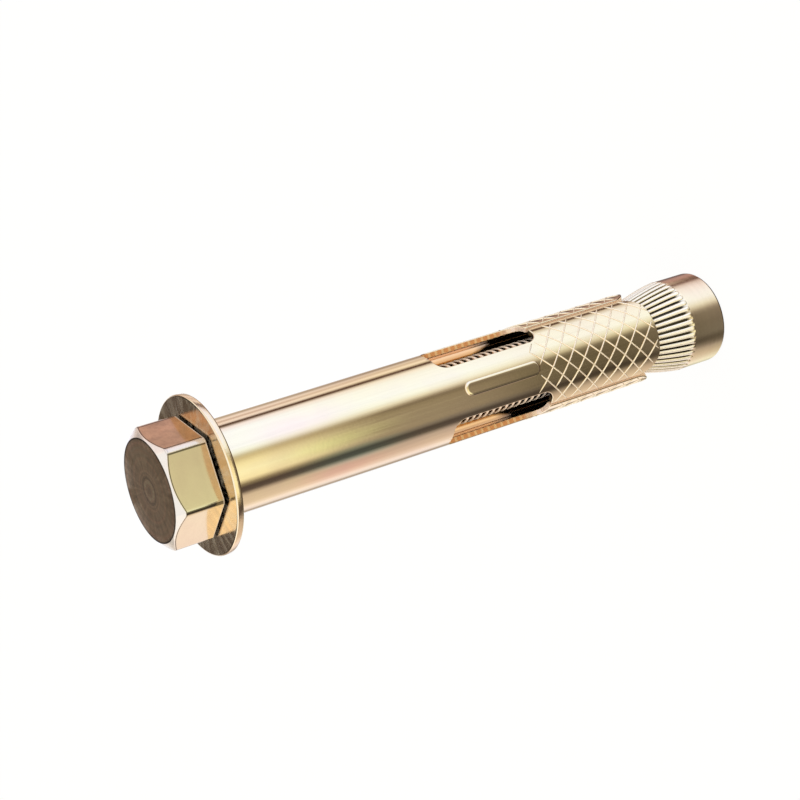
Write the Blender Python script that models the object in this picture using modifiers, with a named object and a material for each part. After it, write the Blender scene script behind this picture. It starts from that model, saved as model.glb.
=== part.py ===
"""Expansion bolt: a hexagon bolt, a flat washer, a slotted sleeve and a ribbed cone nut on one axis.

The anchor stands on the flat end of its cone nut, head up, with +Z along the bolt and one hexagon flat
and one sleeve tongue facing -Y. All lengths are metres.
"""

import math

import bmesh
import bpy
from mathutils import Matrix, Vector

# Hexagon bolt, threaded over its whole shank
SHANK_RADIUS = 0.00390
THREAD_DEPTH = 0.00060
THREAD_PITCH = 0.00100
BOLT_END_CHAMFER = 0.00060
BOLT_END_RECESS = 0.00036
HEX_ACROSS_FLATS = 0.01300
HEX_HEIGHT = 0.00565
HEX_FACE_INSET = 0.00021
HEX_CHAMFER_ANGLE = math.radians(36)
HEX_EDGE_ROUND = 0.00022
HEAD_BOSS_INSET = 0.00050
HEAD_BOSS_HEIGHT = 0.00010

# Sleeve, rolled from one flat blank
SLEEVE_WALL = 0.00075
SLEEVE_LENGTH = 0.06345
TONGUES = 3
WINDOW_LENGTH = 0.01490
WINDOW_WIDTH = 0.00515
WINDOW_CORNER = 0.00150
SLIT_WIDTH = 0.00050
SLIT_LENGTH = 0.01720
TONGUE_CORNER = 0.00300

# Raised key on each tongue
KEY_LENGTH = 0.01130
KEY_WIDTH = 0.00195
KEY_HEIGHT = 0.00020
KEY_ROOT = 0.00030
KEY_ABOVE_WINDOW_BOTTOM = 0.00165

# Cone nut
NUT_COLLAR_LIP = 0.00017
NUT_COLLAR_LENGTH = 0.00500
NUT_PILOT_WALL = 0.00073
NUT_PILOT_LENGTH = 0.00450
NUT_EDGE = 0.00040
CONE_ANGLE = math.radians(11.2)
RIBS = 42
RIB_GROOVE_SHARE = 0.58
RIB_GROOVE_DEPTH = 0.00030
GROOVE_OVERRUN = 0.00040
BORE_CHAMFER = 0.00035

# Flat washer
WASHER_RADIUS = 0.00970
WASHER_THICKNESS = 0.00090
WASHER_EDGE = 0.00012

# Clearances between pieces
SEAT_GAP = 0.00025
THREAD_GAP = 0.00020
WASHER_HOLE_GAP = 0.00035

# Facets round each turned or rolled piece
SLEEVE_FACETS = 72
THREAD_FACETS = 24
WASHER_FACETS = 96
NUT_FACETS_PER_RIB = 2
CORNER_FACETS = 6

# Radii that follow, from the shank outwards
NUT_BORE_RADIUS = SHANK_RADIUS + THREAD_GAP
PILOT_RADIUS = NUT_BORE_RADIUS + NUT_PILOT_WALL
SLEEVE_INNER_RADIUS = PILOT_RADIUS + SEAT_GAP
SLEEVE_OUTER_RADIUS = SLEEVE_INNER_RADIUS + SLEEVE_WALL
NUT_COLLAR_RADIUS = SLEEVE_OUTER_RADIUS + NUT_COLLAR_LIP
HEX_FACE_RADIUS = HEX_ACROSS_FLATS / 2 - HEX_FACE_INSET
HEAD_BOSS_RADIUS = HEX_ACROSS_FLATS / 2 - HEAD_BOSS_INSET

# Heights above the ground that follow, from the nut's flat end upwards
CONE_TOP = NUT_COLLAR_LENGTH + (NUT_COLLAR_RADIUS - PILOT_RADIUS) / math.tan(CONE_ANGLE)
NUT_TOP = CONE_TOP + NUT_PILOT_LENGTH
SLEEVE_BOTTOM = CONE_TOP
SLEEVE_TOP = SLEEVE_BOTTOM + SLEEVE_LENGTH
WINDOW_BOTTOM = SLEEVE_BOTTOM + SLIT_LENGTH
WINDOW_TOP = WINDOW_BOTTOM + WINDOW_LENGTH
KEY_BOTTOM = WINDOW_BOTTOM + KEY_ABOVE_WINDOW_BOTTOM
WASHER_BOTTOM = SLEEVE_TOP + SEAT_GAP
WASHER_TOP = WASHER_BOTTOM + WASHER_THICKNESS
BOSS_BOTTOM = WASHER_TOP + SEAT_GAP
HEX_BOTTOM = BOSS_BOTTOM + HEAD_BOSS_HEIGHT
HEX_TOP = HEX_BOTTOM + HEX_HEIGHT
SHANK_START = HEX_BOTTOM + HEX_HEIGHT / 2

SLEEVE_GIRTH = 2 * math.pi * SLEEVE_OUTER_RADIUS
FRONT = -math.pi / 2
MERGE = 0.000001
CUT_SNAP = 0.00000001
SEAM_SNAP = 0.001
FLAT_ANGLE = math.radians(1)


def new_collection(name):
    collection = bpy.data.collections.new(name)
    bpy.context.scene.collection.children.link(collection)
    return collection


def plated(name, colour, roughness):
    """A zinc-plated steel with its own colour."""
    material = bpy.data.materials.new(name)
    material.use_nodes = True
    shader = material.node_tree.nodes["Principled BSDF"]
    shader.inputs["Base Color"].default_value = (*colour, 1.0)
    shader.inputs["Metallic"].default_value = 1.0
    shader.inputs["Roughness"].default_value = roughness
    return material


def add_object(name, mesh, collection, material=None):
    obj = bpy.data.objects.new(name, mesh)
    collection.objects.link(obj)
    if material is not None:
        mesh.materials.append(material)
    return obj


def mark_cutter(obj):
    obj.hide_render = True
    obj.display_type = "WIRE"
    return obj


def mesh_from_bmesh(name, bm):
    mesh = bpy.data.meshes.new(name)
    bm.to_mesh(mesh)
    bm.free()
    return mesh


def turned(name, profile, facets, collection, material=None):
    """A closed profile of (radius, height) points, down its outer side first, turned about Z."""
    bm = bmesh.new()
    verts = [bm.verts.new((radius, 0.0, height)) for radius, height in profile]
    count = len(verts)
    open_ends = profile[0][0] == 0.0 and profile[-1][0] == 0.0
    for i in range(count - 1 if open_ends else count):
        bm.edges.new((verts[i], verts[(i + 1) % count]))
    obj = add_object(name, mesh_from_bmesh(name, bm), collection, material)
    screw = obj.modifiers.new("Turn", "SCREW")
    screw.axis = "Z"
    screw.angle = 2 * math.pi
    screw.steps = facets
    screw.render_steps = facets
    screw.use_merge_vertices = True
    screw.merge_threshold = MERGE
    screw.use_smooth_shade = True
    return obj


def boolean(obj, tool, operation):
    modifier = obj.modifiers.new(operation.title(), "BOOLEAN")
    modifier.operation = operation
    modifier.solver = "EXACT"
    modifier.object = tool
    return modifier


def arc(centre, radius, start_deg, end_deg):
    """Points along an arc in the flat blank, both ends included."""
    points = []
    for i in range(CORNER_FACETS + 1):
        angle = math.radians(start_deg + (end_deg - start_deg) * i / CORNER_FACETS)
        points.append((centre[0] + radius * math.cos(angle), centre[1] + radius * math.sin(angle)))
    return points


def flat_blank(name, outline):
    """A filled flat outline in X and Y."""
    curve = bpy.data.curves.new(name, "CURVE")
    curve.dimensions = "2D"
    curve.fill_mode = "BOTH"
    spline = curve.splines.new("POLY")
    spline.points.add(len(outline) - 1)
    for point, (x, y) in zip(spline.points, outline):
        point.co = (x, y, 0.0, 1.0)
    spline.use_cyclic_u = True
    source = bpy.data.objects.new(name, curve)
    bpy.context.scene.collection.objects.link(source)
    graph = bpy.context.evaluated_depsgraph_get()
    mesh = bpy.data.meshes.new_from_object(source.evaluated_get(graph))
    bm = bmesh.new()
    bm.from_mesh(mesh)
    bmesh.ops.remove_doubles(bm, verts=bm.verts, dist=MERGE)
    bpy.data.objects.remove(source)
    bpy.data.curves.remove(curve)
    bpy.data.meshes.remove(mesh)
    return bm


def roll(bm, radius):
    """Roll a flat blank round Z: its X becomes the way round, from the back, and its Y the height."""
    facet = 2 * math.pi / SLEEVE_FACETS
    width = radius * facet
    for i in range(-SLEEVE_FACETS // 2, SLEEVE_FACETS // 2 + 1):
        bmesh.ops.bisect_plane(
            bm,
            geom=bm.verts[:] + bm.edges[:] + bm.faces[:],
            dist=CUT_SNAP,
            plane_co=(i * width, 0.0, 0.0),
            plane_no=(1.0, 0.0, 0.0),
        )
    for vert in bm.verts:
        place = vert.co.x / width
        step = math.floor(place + SEAM_SNAP)
        share = max(0.0, place - step)
        near = FRONT + step * facet
        far = near + facet
        x = radius * (math.cos(near) * (1 - share) + math.cos(far) * share)
        y = radius * (math.sin(near) * (1 - share) + math.sin(far) * share)
        vert.co = Vector((x, y, vert.co.y))
    bmesh.ops.remove_doubles(bm, verts=bm.verts, dist=MERGE)
    bmesh.ops.dissolve_degenerate(bm, dist=MERGE, edges=bm.edges)
    bmesh.ops.dissolve_limit(bm, angle_limit=FLAT_ANGLE, verts=bm.verts, edges=bm.edges)
    bmesh.ops.recalc_face_normals(bm, faces=bm.faces)
    outward = sum(face.normal.xy.dot(face.calc_center_median().xy) for face in bm.faces)
    if outward < 0:
        bmesh.ops.reverse_faces(bm, faces=bm.faces)
    return bm


def tongue_side(seam, side):
    """One long edge of a tongue, from its window's top edge down to its end, seam being the slit's line."""
    window = seam + side * WINDOW_WIDTH / 2
    slit = seam + side * SLIT_WIDTH / 2
    inner = window - side * WINDOW_CORNER
    outer = slit + side * TONGUE_CORNER
    across = 0 if side > 0 else 180
    points = arc((inner, WINDOW_TOP - WINDOW_CORNER), WINDOW_CORNER, 90, across)
    points += arc((inner, WINDOW_BOTTOM + WINDOW_CORNER), WINDOW_CORNER, -across, -90)
    points.append((slit, WINDOW_BOTTOM))
    away = 180 if side > 0 else 360
    points += arc((outer, SLEEVE_BOTTOM + TONGUE_CORNER), TONGUE_CORNER, away, 270)
    return points


def sleeve_outline():
    """The whole flat blank, its long edges meeting at the back, with a slit and a window at each seam."""
    edge = SLEEVE_GIRTH / 2
    tongue = SLEEVE_GIRTH / TONGUES
    outline = [(-edge, SLEEVE_TOP), (-edge, WINDOW_TOP)]
    for k in range(TONGUES):
        left = k * tongue - edge
        outline += tongue_side(left, 1)
        outline += reversed(tongue_side(left + tongue, -1))
    outline += [(edge, WINDOW_TOP), (edge, SLEEVE_TOP)]
    return outline


def key_outline(centre):
    """A stadium on the blank, lying along the sleeve."""
    half = KEY_WIDTH / 2
    low = KEY_BOTTOM + half
    high = KEY_BOTTOM + KEY_LENGTH - half
    return arc((centre, high), half, 0, 180) + arc((centre, low), half, 180, 360)


def make_keys(cutters):
    """The raised keys, each with a root that reaches into the wall."""
    joined = bmesh.new()
    for k in range(TONGUES):
        centre = (k - (TONGUES - 1) / 2) * SLEEVE_GIRTH / TONGUES
        bm = roll(flat_blank("key_blank", key_outline(centre)), SLEEVE_OUTER_RADIUS)
        piece = mesh_from_bmesh("key_piece", bm)
        joined.from_mesh(piece)
        bpy.data.meshes.remove(piece)
    keys = mark_cutter(add_object("sleeve_keys", mesh_from_bmesh("sleeve_keys", joined), cutters))
    solid = keys.modifiers.new("Height", "SOLIDIFY")
    solid.thickness = KEY_HEIGHT + KEY_ROOT
    solid.offset = (KEY_HEIGHT - KEY_ROOT) / (KEY_HEIGHT + KEY_ROOT)
    solid.use_even_offset = True
    return keys


def make_sleeve(parts, cutters):
    material = plated("sleeve_plating", (0.72, 0.60, 0.42), 0.24)
    bm = roll(flat_blank("sleeve_blank", sleeve_outline()), SLEEVE_OUTER_RADIUS)
    sleeve = add_object("sleeve", mesh_from_bmesh("sleeve", bm), parts, material)
    wall = sleeve.modifiers.new("Wall", "SOLIDIFY")
    wall.thickness = SLEEVE_WALL
    wall.offset = -1.0
    wall.use_even_offset = True
    boolean(sleeve, make_keys(cutters), "UNION")
    sleeve.data.shade_smooth()
    return sleeve


def nut_profile():
    collar = NUT_COLLAR_RADIUS
    bore = NUT_BORE_RADIUS
    return [
        (PILOT_RADIUS - NUT_EDGE / 2, NUT_TOP),
        (PILOT_RADIUS, NUT_TOP - NUT_EDGE / 2),
        (PILOT_RADIUS, CONE_TOP),
        (collar, NUT_COLLAR_LENGTH),
        (collar, NUT_EDGE),
        (collar - NUT_EDGE, 0.0),
        (bore + BORE_CHAMFER, 0.0),
        (bore, BORE_CHAMFER),
        (bore, NUT_TOP),
    ]


def make_rib_grooves(cutters):
    """V bars laid along the cone, one between each two ribs, as wide as a share of a rib and a groove."""
    bm = bmesh.new()
    flare = RIB_GROOVE_DEPTH / 2
    for k in range(RIBS):
        turn = Matrix.Rotation(2 * math.pi * (k + 0.5) / RIBS, 4, "Z")
        ends = []
        for height in (NUT_COLLAR_LENGTH, CONE_TOP + GROOVE_OVERRUN):
            surface = NUT_COLLAR_RADIUS - (height - NUT_COLLAR_LENGTH) * math.tan(CONE_ANGLE)
            deep = surface - RIB_GROOVE_DEPTH
            high = surface + flare
            groove = 2 * math.pi * surface / RIBS * RIB_GROOVE_SHARE
            half = groove / 2 * (RIB_GROOVE_DEPTH + flare) / RIB_GROOVE_DEPTH
            corners = [(deep, 0.0), (high, half), (high, -half)]
            ends.append([bm.verts.new(turn @ Vector((x, y, height))) for x, y in corners])
        low, up = ends
        bm.faces.new(reversed(low))
        bm.faces.new(up)
        for i in range(3):
            j = (i + 1) % 3
            bm.faces.new((low[i], low[j], up[j], up[i]))
    bmesh.ops.recalc_face_normals(bm, faces=bm.faces)
    return mark_cutter(add_object("rib_grooves", mesh_from_bmesh("rib_grooves", bm), cutters))


def make_cone_nut(parts, cutters):
    material = plated("nut_plating", (0.66, 0.52, 0.36), 0.28)
    nut = turned("cone_nut", nut_profile(), RIBS * NUT_FACETS_PER_RIB, parts, material)
    boolean(nut, make_rib_grooves(cutters), "DIFFERENCE")
    return nut


def make_washer(parts):
    material = plated("washer_plating", (0.62, 0.52, 0.38), 0.30)
    hole = SHANK_RADIUS + WASHER_HOLE_GAP
    profile = [
        (WASHER_RADIUS - WASHER_EDGE, WASHER_TOP),
        (WASHER_RADIUS, WASHER_TOP - WASHER_EDGE),
        (WASHER_RADIUS, WASHER_BOTTOM + WASHER_EDGE),
        (WASHER_RADIUS - WASHER_EDGE, WASHER_BOTTOM),
        (hole, WASHER_BOTTOM),
        (hole, WASHER_TOP),
    ]
    return turned("washer", profile, WASHER_FACETS, parts, material)


def make_head_cone(cutters):
    """The turned form whose overlap with the hexagon leaves the chamfered head."""
    reach = HEX_ACROSS_FLATS
    drop = (reach - HEX_FACE_RADIUS) * math.tan(HEX_CHAMFER_ANGLE)
    below = HEX_BOTTOM - HEX_HEIGHT
    profile = [
        (0.0, HEX_TOP),
        (HEX_FACE_RADIUS, HEX_TOP),
        (reach, HEX_TOP - drop),
        (reach, below),
        (0.0, below),
    ]
    return mark_cutter(turned("head_cone", profile, WASHER_FACETS, cutters))


def make_boss(cutters):
    """The bearing boss under the head, which starts inside the head."""
    profile = [
        (0.0, SHANK_START),
        (HEAD_BOSS_RADIUS, SHANK_START),
        (HEAD_BOSS_RADIUS, BOSS_BOTTOM),
        (0.0, BOSS_BOTTOM),
    ]
    return mark_cutter(turned("head_boss", profile, WASHER_FACETS, cutters))


def make_point(cutters):
    """The turned form whose overlap with the thread leaves the chamfered end."""
    wide = SHANK_RADIUS + BOLT_END_CHAMFER
    narrow = SHANK_RADIUS - BOLT_END_CHAMFER
    profile = [
        (0.0, HEX_TOP),
        (wide, HEX_TOP),
        (wide, BOLT_END_RECESS + wide - narrow),
        (narrow, BOLT_END_RECESS),
        (0.0, BOLT_END_RECESS),
    ]
    return mark_cutter(turned("bolt_point", profile, THREAD_FACETS * 2, cutters))


def make_thread(cutters):
    """A right-hand V thread from below the bolt's end to inside the head, cut to the chamfered end."""
    bm = bmesh.new()
    low = BOLT_END_RECESS - 2 * THREAD_PITCH
    turns = math.ceil((SHANK_START - low) / THREAD_PITCH)
    rows = []
    for j in range(THREAD_FACETS):
        angle = 2 * math.pi * j / THREAD_FACETS
        row = []
        for i in range(2 * turns + 1):
            radius = SHANK_RADIUS - THREAD_DEPTH * (1 - i % 2)
            height = low + THREAD_PITCH * (i / 2 + j / THREAD_FACETS)
            row.append(bm.verts.new((radius * math.cos(angle), radius * math.sin(angle), height)))
        rows.append(row)
    rows.append(rows[0][2:])
    for row, following in zip(rows, rows[1:]):
        for i in range(len(following) - 1):
            bm.faces.new((row[i], following[i], following[i + 1], row[i + 1]))
    first, last = rows[0], rows[THREAD_FACETS - 1]
    lower_rim = [row[0] for row in rows] + [first[1]]
    upper_rim = [row[-1] for row in rows[:THREAD_FACETS]] + [last[-2], last[-3]]
    lower_rim.append(first[0])
    upper_rim.append(first[-1])
    for rim, height in ((lower_rim, low), (upper_rim, low + THREAD_PITCH * turns)):
        middle = bm.verts.new((0.0, 0.0, height))
        for near, far in zip(rim, rim[1:]):
            bm.faces.new((near, far, middle))
    bmesh.ops.recalc_face_normals(bm, faces=bm.faces)
    thread = mark_cutter(add_object("bolt_thread", mesh_from_bmesh("bolt_thread", bm), cutters))
    boolean(thread, make_point(cutters), "INTERSECT")
    return thread


def make_bolt(parts, cutters):
    material = plated("bolt_plating", (0.70, 0.55, 0.40), 0.26)
    bm = bmesh.new()
    corner = HEX_ACROSS_FLATS / math.sqrt(3)
    lift = Matrix.Translation((0.0, 0.0, HEX_BOTTOM + HEX_HEIGHT / 2))
    turn = Matrix.Rotation(math.pi / 6, 4, "Z")
    bmesh.ops.create_cone(
        bm, cap_ends=True, segments=6, radius1=corner, radius2=corner, depth=HEX_HEIGHT, matrix=lift @ turn
    )
    upright = [edge for edge in bm.edges if abs(edge.verts[0].co.z - edge.verts[1].co.z) > HEX_HEIGHT / 2]
    bmesh.ops.bevel(
        bm, geom=upright, offset=HEX_EDGE_ROUND, offset_type="OFFSET", segments=2, profile=0.5, affect="EDGES"
    )
    bolt = add_object("hex_bolt", mesh_from_bmesh("hex_bolt", bm), parts, material)
    boolean(bolt, make_head_cone(cutters), "INTERSECT")
    boolean(bolt, make_boss(cutters), "UNION")
    boolean(bolt, make_thread(cutters), "UNION")
    return bolt


def main():
    for obj in list(bpy.data.objects):
        bpy.data.objects.remove(obj)
    parts = new_collection("expansion_bolt")
    cutters = new_collection("cutters")
    make_cone_nut(parts, cutters)
    make_sleeve(parts, cutters)
    make_washer(parts)
    make_bolt(parts, cutters)


main()
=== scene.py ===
"""Looks for the expansion bolt: a finely modelled bolt, washer, sleeve and cone nut over the CAD frame,
with yellow-passivated plating, a white studio and the photograph's camera. Everything is in metres.
"""

import math

import bmesh
import bpy
from mathutils import Matrix, Vector
from mathutils.geometry import tessellate_polygon


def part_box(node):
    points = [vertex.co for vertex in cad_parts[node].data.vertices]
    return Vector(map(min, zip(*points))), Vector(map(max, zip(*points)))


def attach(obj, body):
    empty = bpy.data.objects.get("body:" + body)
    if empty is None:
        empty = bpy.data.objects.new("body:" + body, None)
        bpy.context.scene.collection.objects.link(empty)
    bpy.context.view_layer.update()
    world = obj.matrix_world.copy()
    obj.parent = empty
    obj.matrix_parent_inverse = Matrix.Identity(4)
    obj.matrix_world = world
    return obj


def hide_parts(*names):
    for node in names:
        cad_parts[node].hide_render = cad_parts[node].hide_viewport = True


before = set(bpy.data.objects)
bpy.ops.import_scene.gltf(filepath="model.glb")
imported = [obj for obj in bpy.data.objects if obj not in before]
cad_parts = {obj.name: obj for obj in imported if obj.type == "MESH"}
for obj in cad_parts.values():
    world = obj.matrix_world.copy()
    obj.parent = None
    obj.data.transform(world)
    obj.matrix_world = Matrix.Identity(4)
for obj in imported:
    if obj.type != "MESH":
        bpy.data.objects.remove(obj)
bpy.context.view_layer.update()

MM = 0.001
FULL_TURN = 2 * math.pi

# Camera, fitted to the photograph's outline
CAMERA_AIM = Vector((1.27, 0.0, 46.84)) * MM
CAMERA_DISTANCE = 244.6 * MM
CAMERA_ELEVATION = math.radians(29.22)
CAMERA_ROLL = math.radians(107.55)
CAMERA_LENS = 90.23

# Sizes read from the CAD frame
_, NUT_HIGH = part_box("cone_nut")
SLEEVE_LOW, SLEEVE_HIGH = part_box("sleeve")
WASHER_LOW, WASHER_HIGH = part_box("washer")
BOLT_LOW, BOLT_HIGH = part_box("hex_bolt")

# Sleeve
KEY_HEIGHT = 0.20 * MM
SLEEVE_RADIUS = -SLEEVE_LOW.y - KEY_HEIGHT
SLEEVE_WALL = 0.75 * MM
SLEEVE_EDGE = 0.13 * MM
TONGUES = 3
WINDOW_LENGTH = 14.9 * MM
WINDOW_WIDTH = 5.15 * MM
WINDOW_CORNER = 1.5 * MM
SLIT_WIDTH = 0.5 * MM
SLIT_LENGTH = 17.2 * MM
SLIT_CORNER = 0.25 * MM
TONGUE_CORNER = 3.0 * MM
TONGUE_CROWN = 0.3 * MM
WINDOW_BOTTOM = SLEEVE_LOW.z + SLIT_LENGTH
WINDOW_TOP = WINDOW_BOTTOM + WINDOW_LENGTH
SECTOR = FULL_TURN * SLEEVE_RADIUS / TONGUES
TONGUE_TURNS = [FULL_TURN * k / TONGUES for k in range(TONGUES)]

# Raised keys
KEY_LENGTH = 11.3 * MM
KEY_WIDTH = 1.95 * MM
KEY_EDGE = 0.38 * MM
KEY_BOTTOM = WINDOW_BOTTOM + 1.65 * MM

# Diamond ridges
RIDGE_SPACING = math.radians(26.2)
RIDGE_SLOPE = math.radians(10.55) / MM
RIDGE_LINES = 12
RIDGE_WIDTH = 0.20 * MM
RIDGE_HEIGHT = 0.10 * MM
RIDGE_ROOT = 0.06 * MM
RIDGE_MARGIN = 0.12 * MM
RIDGE_TOP = SLEEVE_LOW.z + 19.5 * MM
RIDGE_STEP = 0.25 * MM
RIDGE_TAPER_STEPS = 2
RIDGE_END = 0.35
RIDGE_PHASE_RISING = math.radians(-1.5)
RIDGE_PHASE_FALLING = math.radians(16.6)

# Bolt
HEX_ACROSS_FLATS = BOLT_HIGH.y - BOLT_LOW.y
HEX_HEIGHT = 5.72 * MM
HEX_TOP = BOLT_HIGH.z
HEX_BOTTOM = HEX_TOP - HEX_HEIGHT
HEX_FACE_RADIUS = 6.29 * MM
HEX_CHAMFER_ANGLE = math.radians(36)
HEX_CORNER_ROUND = 0.80 * MM
HEX_CORNER_STARTS = 7.285 * MM
HEX_EDGE = 0.14 * MM
HEX_FOOT_EDGE = 0.12 * MM
HEX_FACE_EDGE = 0.07 * MM
BOSS_RADIUS = 6.0 * MM
SEAT_GAP = 0.25 * MM
BOSS_BOTTOM = WASHER_HIGH.z + SEAT_GAP
THREAD_CREST = 3.90 * MM
THREAD_ROOT = 3.30 * MM
THREAD_PITCH = 1.0 * MM
THREAD_CREST_FLAT = 0.12 * MM
THREAD_ROOT_FLAT = 0.14 * MM
THREAD_SUNK = 0.1 * MM
THREAD_SEGMENTS = 48
THREAD_START = 1.5 * MM

# Washer
WASHER_RADIUS = WASHER_HIGH.x
WASHER_HOLE = 4.25 * MM
WASHER_EDGE = 0.24 * MM

# Cone nut
COLLAR_RADIUS = NUT_HIGH.x
COLLAR_LENGTH = 5.0 * MM
COLLAR_EDGE = 0.4 * MM
CONE_TOP = SLEEVE_LOW.z
CONE_CURVE = 1.35
CONE_ANGLE = math.radians(11.2)
PILOT_RADIUS = COLLAR_RADIUS - (CONE_TOP - COLLAR_LENGTH) * math.tan(CONE_ANGLE)
BORE_RADIUS = 4.10 * MM
BORE_CHAMFER = 0.35 * MM
RIBS = 42
RIB_DEPTH = 0.30 * MM
RIB_SHARE = 0.74
RIB_PROUD = 0.05 * MM
RIB_FULLNESS = 0.8
RIB_END = 0.25 * MM
RIB_TIP = 0.02
RIB_START = 5.0 * MM
VALLEY_RUN = 1.3 * MM

# Fineness
ROUND_FACETS = 180
SECTOR_FACETS = 60
EDGE_STEPS = 4
ARC_STEPS = 12
RIB_STEPS = 20
CONE_STEPS = 24
HEX_STEPS = 24
HEX_CROWDING = 1.8
RIDGE_SECTION_STEPS = 6
RIB_SECTION_STEPS = 8
MERGE = 0.000001
CUT_SNAP = 0.00000001

# Finish: how long marks are beside their width, how many marks, clouds or pits a metre holds, noise's span
MARK_STRETCH = 60.0
RAY_STRETCH = 90.0
FINE_MARKS = 90.0
BROAD_MARKS = 22.0
CLOUDS = 160.0
PITS = 2600.0
NOISE_SPAN = (0.3, 0.7)
BUMP_DISTANCE = 0.02 * MM

# Places on the sleeve where shade, light and reflections are painted
WINDOW_DARK = (6.1 * MM, 6.4 * MM)
WINDOW_DARK_LENGTH = 0.9 * MM
WALL_LIGHT = (WINDOW_BOTTOM + 3.0 * MM, WINDOW_BOTTOM + 5.0 * MM)
THREAD_REFLECTION_START = (WINDOW_BOTTOM + 1.0 * MM, WINDOW_BOTTOM + 3.0 * MM)
# Where painted shade lies along one side of the front key
KEY_SHADE = (-1.0 * MM, -0.62 * MM)

# Films on the sleeve: degrees from the front, height, reach in degrees and along the axis, tint
SLEEVE_FILMS = [
    (-11.0, 59.0 * MM, 12.0, 11.0 * MM, (1.06, 1.13, 0.92)),
    (-49.0, 59.0 * MM, 18.0, 9.0 * MM, (1.04, 0.88, 0.98)),
    (-32.0, 58.0 * MM, 13.0, 11.0 * MM, (0.78, 1.15, 1.26)),
    (22.0, 64.0 * MM, 22.0, 9.0 * MM, (1.02, 0.95, 1.04)),
]

# Tints of the film and of painted light and reflections, and colours of matt metal and of painted
# highlights, in linear values
# Painted reflection on the head's flats: coppery on one side, olive on the front
COPPER_TINT = (0.70, 0.54, 0.47)
OLIVE_TINT = (0.78, 0.83, 0.90)
RING_TINT = (1.08, 0.94, 0.95)
# Painted light of the sleeve's inner wall
INNER_LIGHT_TINT = (1.0, 0.80, 0.55)
SLIT_METAL = (0.95, 0.68, 0.44, 1.0)
# Painted reflection of the thread on the sleeve's cut edges, dark and light
THREAD_REFLECTION_DARK = (0.76, 0.27, 0.05, 1.0)
THREAD_REFLECTION_LIGHT = (1.0, 0.62, 0.24, 1.0)
# Painted highlights on the ridges, the thread's crests, the head's edges and the ribs
RIDGE_HIGHLIGHT = (1.0, 0.82, 0.56, 1.0)
THREAD_HIGHLIGHT = (1.0, 0.76, 0.50, 1.0)
HEAD_HIGHLIGHT = (0.84, 0.70, 0.54, 1.0)
WASHER_METAL = (0.62, 0.55, 0.36, 1.0)
RIB_HIGHLIGHT = (0.95, 0.84, 0.62, 1.0)

# Places on the head: beside the rim and the chamfer (painted dark lines), on the chamfer, up its foot and
# across its upright edges (painted highlights), on its top
RIM_LINE = 0.16 * MM
CHAMFER_LINE = (-0.16 * MM, -0.07 * MM)
CHAMFER_HIGHLIGHT = (-0.02 * MM, 0.05 * MM)
FOOT_HIGHLIGHT = (0.05 * MM, 0.17 * MM)
UPRIGHT_NEAR = 2.0 * MM
UPRIGHT_FAR = 5.0 * MM
# Where the painted coppery and olive reflections lie on the head's flats
COPPER_STARTS = (3.5 * MM, 3.9 * MM)
OLIVE_HALF = 3.6 * MM
OUTLINE_SOFT = 0.03 * MM
TOP_FACE = HEX_TOP - 0.02 * MM


# Mesh helpers

def mesh_of(name, bm):
    """A new mesh of what a bmesh holds, which is then freed."""
    mesh = bpy.data.meshes.new(name)
    bm.to_mesh(mesh)
    bm.free()
    return mesh


def added(name, data):
    """A new object in the scene."""
    obj = bpy.data.objects.new(name, data)
    bpy.context.scene.collection.objects.link(obj)
    return obj


def new_piece(name, bm, material, body, node):
    """Turns a bmesh into a smooth piece of the object that rides on a body and replaces a CAD node."""
    mesh = mesh_of(name, bm)
    mesh.materials.append(material)
    mesh.shade_smooth()
    piece = added(name, mesh)
    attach(piece, body)
    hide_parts(node)
    return piece


def weigh_normals(piece):
    """Large faces lead the shading, so that flats stay flat beside their small rounded edges."""
    modifier = piece.modifiers.new("Weighted normals", "WEIGHTED_NORMAL")
    modifier.mode = "FACE_AREA"
    modifier.weight = 50
    modifier.keep_sharp = True


def fillet(before, corner, after, radius):
    """Points of a round that joins two edges of a profile."""
    to_before = (before - corner).normalized()
    to_after = (after - corner).normalized()
    half = to_before.angle(to_after) / 2
    reach = radius / math.tan(half)
    centre = corner + (to_before + to_after).normalized() * radius / math.sin(half)
    start = corner + to_before * reach - centre
    sweep = math.pi - 2 * half
    if start.x * to_before.y - start.y * to_before.x > 0:
        sweep = -sweep
    points = []
    for i in range(EDGE_STEPS + 1):
        points.append(centre + Matrix.Rotation(sweep * i / EDGE_STEPS, 2) @ start)
    return points


def rounded(corners, closed):
    """A profile of (radius, height, round) corners as points, each corner with its own round."""
    spots = [Vector((r, z)) for r, z, _ in corners]
    points = []
    for i, (_, _, radius) in enumerate(corners):
        inside = closed or 0 < i < len(corners) - 1
        if inside and radius > 0:
            points += fillet(spots[i - 1], spots[i], spots[(i + 1) % len(spots)], radius)
        else:
            points.append(spots[i])
    return points


def skin(bm, rows, closed):
    """Faces between neighbouring rows of verts, triangles where both rows share a pole."""
    count = len(rows[0])
    for row, other in zip(rows, rows[1:]):
        for i in range(count if closed else count - 1):
            k = (i + 1) % count
            bm.faces.new(dict.fromkeys((row[i], row[k], other[k], other[i])))


def revolve(bm, rows, closed):
    """Skins rows of (x, y, z) points, one row for each angle; a row's end on the axis becomes a pole."""
    made = []
    poles = {}
    for row in rows:
        verts = []
        for i, point in enumerate(row):
            on_axis = not closed and i in (0, len(row) - 1)
            if on_axis:
                if i not in poles:
                    poles[i] = bm.verts.new(point)
                verts.append(poles[i])
            else:
                verts.append(bm.verts.new(point))
        made.append(verts)
    skin(bm, made + made[:1], closed)
    bmesh.ops.recalc_face_normals(bm, faces=bm.faces)


def spun(profile, angle):
    """A profile of (radius, height) points as (x, y, z) points at an angle round Z."""
    return [(r * math.cos(angle), r * math.sin(angle), z) for r, z in profile]


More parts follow.
